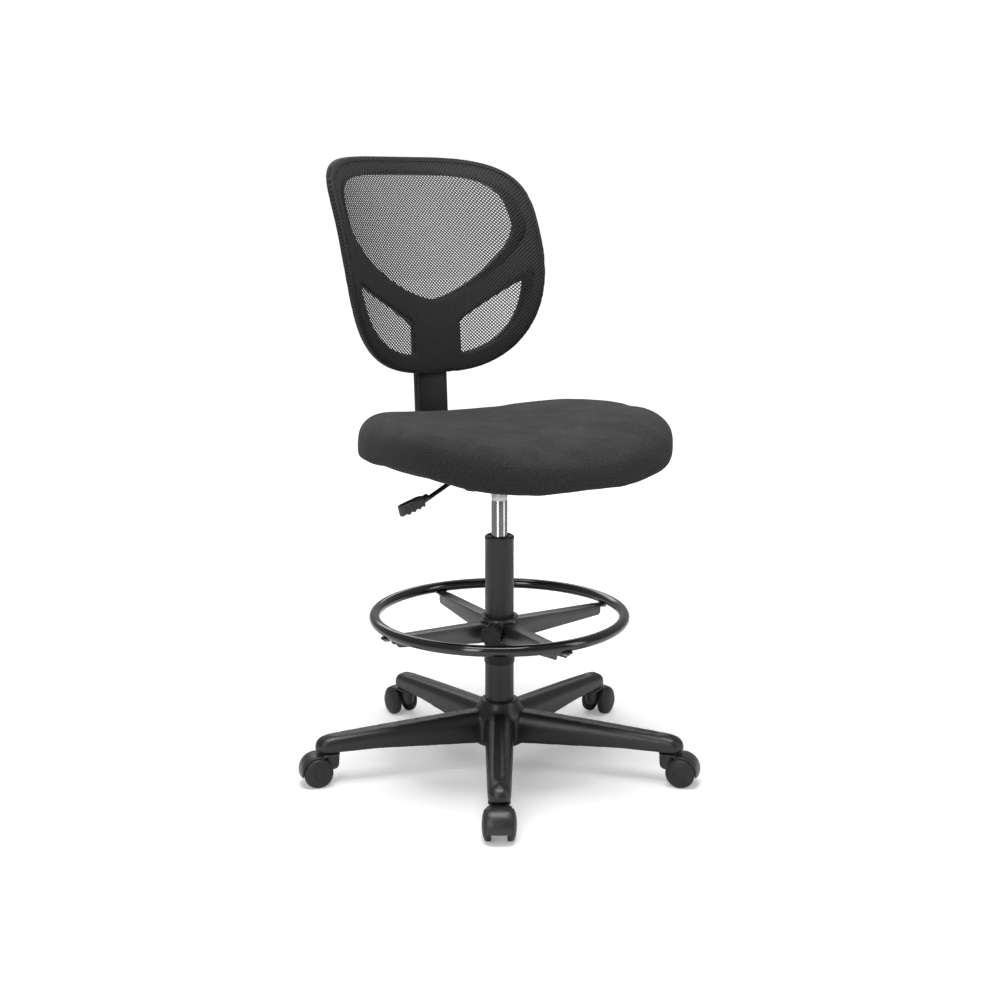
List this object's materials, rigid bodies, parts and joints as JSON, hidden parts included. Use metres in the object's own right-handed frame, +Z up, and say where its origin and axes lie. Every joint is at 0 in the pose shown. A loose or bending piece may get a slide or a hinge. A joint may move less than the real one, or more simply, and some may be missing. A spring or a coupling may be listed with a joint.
{
  "type": "drafting chair",
  "caption": "Armless drafting chair with a mesh backrest, upholstered seat, gas lift, clamped footring and five-star base on twin-wheel casters.",
  "frame": {"origin": "on the floor, under the axis of the column", "axes": "+Z up, the sitter faces -Y, +X to the left of the sitter"},
  "size_m": [0.6857, 0.7269, 1.059],
  "materials": {
    "base_nylon": "satin black glass-filled nylon",
    "column_paint": "satin dark grey paint",
    "black_plastic": "matte moulded plastic",
    "rubber": "soft matte rubber",
    "bearing_steel": "ground steel",
    "zinc_steel": "zinc plated steel",
    "hood_plastic": "satin moulded nylon",
    "wheel_nylon": "smooth moulded nylon",
    "chrome": "polished chrome",
    "brass": "plain machined",
    "black_steel": "black powder coat",
    "lever_steel": "satin black rod",
    "paddle_plastic": "moulded plastic with a finger grip",
    "plywood": "raw birch plywood",
    "seat_fabric": "charcoal woven upholstery",
    "frame_plastic": "matte moulded frame",
    "mesh_fabric": "open woven polyester mesh",
    "ring_paint": "gloss black paint",
    "spoke_paint": "satin dark grey paint"
  },
  "bodies": {
    "base": {"star_base": "base_nylon", "column_tube": "column_paint", "column_bushing": "black_plastic", "rubber_buffer": "rubber", "thrust_bearing": "bearing_steel", "grip_rings": "zinc_steel", "caster_1_stem": "zinc_steel", "caster_2_stem": "zinc_steel", "caster_3_stem": "zinc_steel", "caster_4_stem": "zinc_steel", "caster_5_stem": "zinc_steel"},
    "lift_rod": {"piston_rod": "bearing_steel", "rod_clip": "bearing_steel", "upper_race": "bearing_steel"},
    "seat": {"gas_cylinder": "chrome", "rod_guide": "black_plastic", "mechanism_plate": "black_steel", "cone_socket": "black_steel", "lever_pin": "zinc_steel", "seat_board": "plywood", "tee_nuts": "zinc_steel", "seat_bolts": "black_steel", "seat_cushion": "seat_fabric"},
    "gas_valve": {"release_pin": "brass"},
    "height_lever": {"lever_rod": "lever_steel", "lever_paddle": "paddle_plastic"},
    "backrest": {"back_bar": "black_steel", "bar_sleeve": "black_plastic", "back_frame": "frame_plastic", "back_mesh": "mesh_fabric", "back_screws": "zinc_steel"},
    "back_knob": {"depth_knob": "black_plastic"},
    "ring_collar": {"collar_sleeve": "black_plastic"},
    "footring": {"ring_hub": "spoke_paint", "ring_spokes": "spoke_paint", "foot_ring": "ring_paint", "ring_screws": "zinc_steel"},
    "ring_knob": {"clamp_grip": "black_plastic", "clamp_stud": "zinc_steel"},
    "caster_1": {"caster_1_hood": "hood_plastic", "caster_1_axle": "zinc_steel"},
    "caster_1_left": {"caster_1_wheel_left": "wheel_nylon"},
    "caster_1_right": {"caster_1_wheel_right": "wheel_nylon"},
    "caster_2": {"caster_2_hood": "hood_plastic", "caster_2_axle": "zinc_steel"},
    "caster_2_left": {"caster_2_wheel_left": "wheel_nylon"},
    "caster_2_right": {"caster_2_wheel_right": "wheel_nylon"},
    "caster_3": {"caster_3_hood": "hood_plastic", "caster_3_axle": "zinc_steel"},
    "caster_3_left": {"caster_3_wheel_left": "wheel_nylon"},
    "caster_3_right": {"caster_3_wheel_right": "wheel_nylon"},
    "caster_4": {"caster_4_hood": "hood_plastic", "caster_4_axle": "zinc_steel"},
    "caster_4_left": {"caster_4_wheel_left": "wheel_nylon"},
    "caster_4_right": {"caster_4_wheel_right": "wheel_nylon"},
    "caster_5": {"caster_5_hood": "hood_plastic", "caster_5_axle": "zinc_steel"},
    "caster_5_left": {"caster_5_wheel_left": "wheel_nylon"},
    "caster_5_right": {"caster_5_wheel_right": "wheel_nylon"}
  },
  "joints": [
    {"name": "seat_swivel", "type": "hinge", "parent": "base", "child": "lift_rod", "pos_m": [0, 0, 0.06], "axis": [0, 0, 1], "continuous": true},
    {"name": "seat_height", "type": "slide", "parent": "lift_rod", "child": "seat", "axis": [0, 0, 1], "range_m": [-0.075, 0.125]},
    {"name": "lever_lift", "type": "hinge", "parent": "seat", "child": "height_lever", "pos_m": [-0.04457, -0.00619, 0.5345], "axis": [-0.1374, 0.9905, 0], "range_deg": [0, 6], "stiffness_Nm_per_rad": 4, "springref_deg": -6.88},
    {"name": "valve_press", "type": "slide", "parent": "seat", "child": "gas_valve", "axis": [0, 0, -1], "range_m": [0, 0.005]},
    {"name": "back_depth", "type": "slide", "parent": "seat", "child": "backrest", "axis": [0, 1, 0], "range_m": [-0.025, 0.025]},
    {"name": "back_knob_turn", "type": "hinge", "parent": "seat", "child": "back_knob", "pos_m": [0, 0.084, 0.48], "axis": [0, 0, 1], "range_deg": [0, 720]},
    {"name": "ring_height", "type": "slide", "parent": "base", "child": "ring_collar", "axis": [0, 0, 1], "range_m": [-0.06, 0.13]},
    {"name": "ring_turn", "type": "hinge", "parent": "ring_collar", "child": "footring", "pos_m": [0, 0, 0.268], "axis": [0, 0, 1], "continuous": true},
    {"name": "ring_knob_turn", "type": "hinge", "parent": "footring", "child": "ring_knob", "pos_m": [0, 0, 0.243], "axis": [-0.7071, -0.7071, 0], "range_deg": [0, 720]},
    {"name": "caster_1_swivel", "type": "hinge", "parent": "base", "child": "caster_1", "pos_m": [-0.1515, -0.26241, 0.05], "axis": [0, 0, 1], "continuous": true},
    {"name": "caster_1_left_spin", "type": "hinge", "parent": "caster_1", "child": "caster_1_left", "pos_m": [-0.1625, -0.28146, 0.025], "axis": [0.866, -0.5, 0], "continuous": true},
    {"name": "caster_1_right_spin", "type": "hinge", "parent": "caster_1", "child": "caster_1_right", "pos_m": [-0.1625, -0.28146, 0.025], "axis": [0.866, -0.5, 0], "continuous": true},
    {"name": "caster_2_swivel", "type": "hinge", "parent": "base", "child": "caster_2", "pos_m": [0.20275, -0.22517, 0.05], "axis": [0, 0, 1], "continuous": true},
    {"name": "caster_2_left_spin", "type": "hinge", "parent": "caster_2", "child": "caster_2_left", "pos_m": [0.21747, -0.24152, 0.025], "axis": [0.7431, 0.6691, 0], "continuous": true},
    {"name": "caster_2_right_spin", "type": "hinge", "parent": "caster_2", "child": "caster_2_right", "pos_m": [0.21747, -0.24152, 0.025], "axis": [0.7431, 0.6691, 0], "continuous": true},
    {"name": "caster_3_swivel", "type": "hinge", "parent": "base", "child": "caster_3", "pos_m": [0.2768, 0.12324, 0.05], "axis": [0, 0, 1], "continuous": true},
    {"name": "caster_3_left_spin", "type": "hinge", "parent": "caster_3", "child": "caster_3_left", "pos_m": [0.2969, 0.13219, 0.025], "axis": [-0.4067, 0.9135, 0], "continuous": true},
    {"name": "caster_3_right_spin", "type": "hinge", "parent": "caster_3", "child": "caster_3_right", "pos_m": [0.2969, 0.13219, 0.025], "axis": [-0.4067, 0.9135, 0], "continuous": true},
    {"name": "caster_4_swivel", "type": "hinge", "parent": "base", "child": "caster_4", "pos_m": [-0.03167, 0.30134, 0.05], "axis": [0, 0, 1], "continuous": true},
    {"name": "caster_4_left_spin", "type": "hinge", "parent": "caster_4", "child": "caster_4_left", "pos_m": [-0.03397, 0.32322, 0.025], "axis": [-0.9945, -0.1045, 0], "continuous": true},
    {"name": "caster_4_right_spin", "type": "hinge", "parent": "caster_4", "child": "caster_4_right", "pos_m": [-0.03397, 0.32322, 0.025], "axis": [-0.9945, -0.1045, 0], "continuous": true},
    {"name": "caster_5_swivel", "type": "hinge", "parent": "base", "child": "caster_5", "pos_m": [-0.29638, 0.063, 0.05], "axis": [0, 0, 1], "continuous": true},
    {"name": "caster_5_left_spin", "type": "hinge", "parent": "caster_5", "child": "caster_5_left", "pos_m": [-0.3179, 0.06757, 0.025], "axis": [-0.2079, -0.9781, 0], "continuous": true},
    {"name": "caster_5_right_spin", "type": "hinge", "parent": "caster_5", "child": "caster_5_right", "pos_m": [-0.3179, 0.06757, 0.025], "axis": [-0.2079, -0.9781, 0], "continuous": true}
  ],
  "couplings": [
    {"joint": "valve_press", "follows": "lever_lift", "m_per_rad": 0.0477}
  ]
}
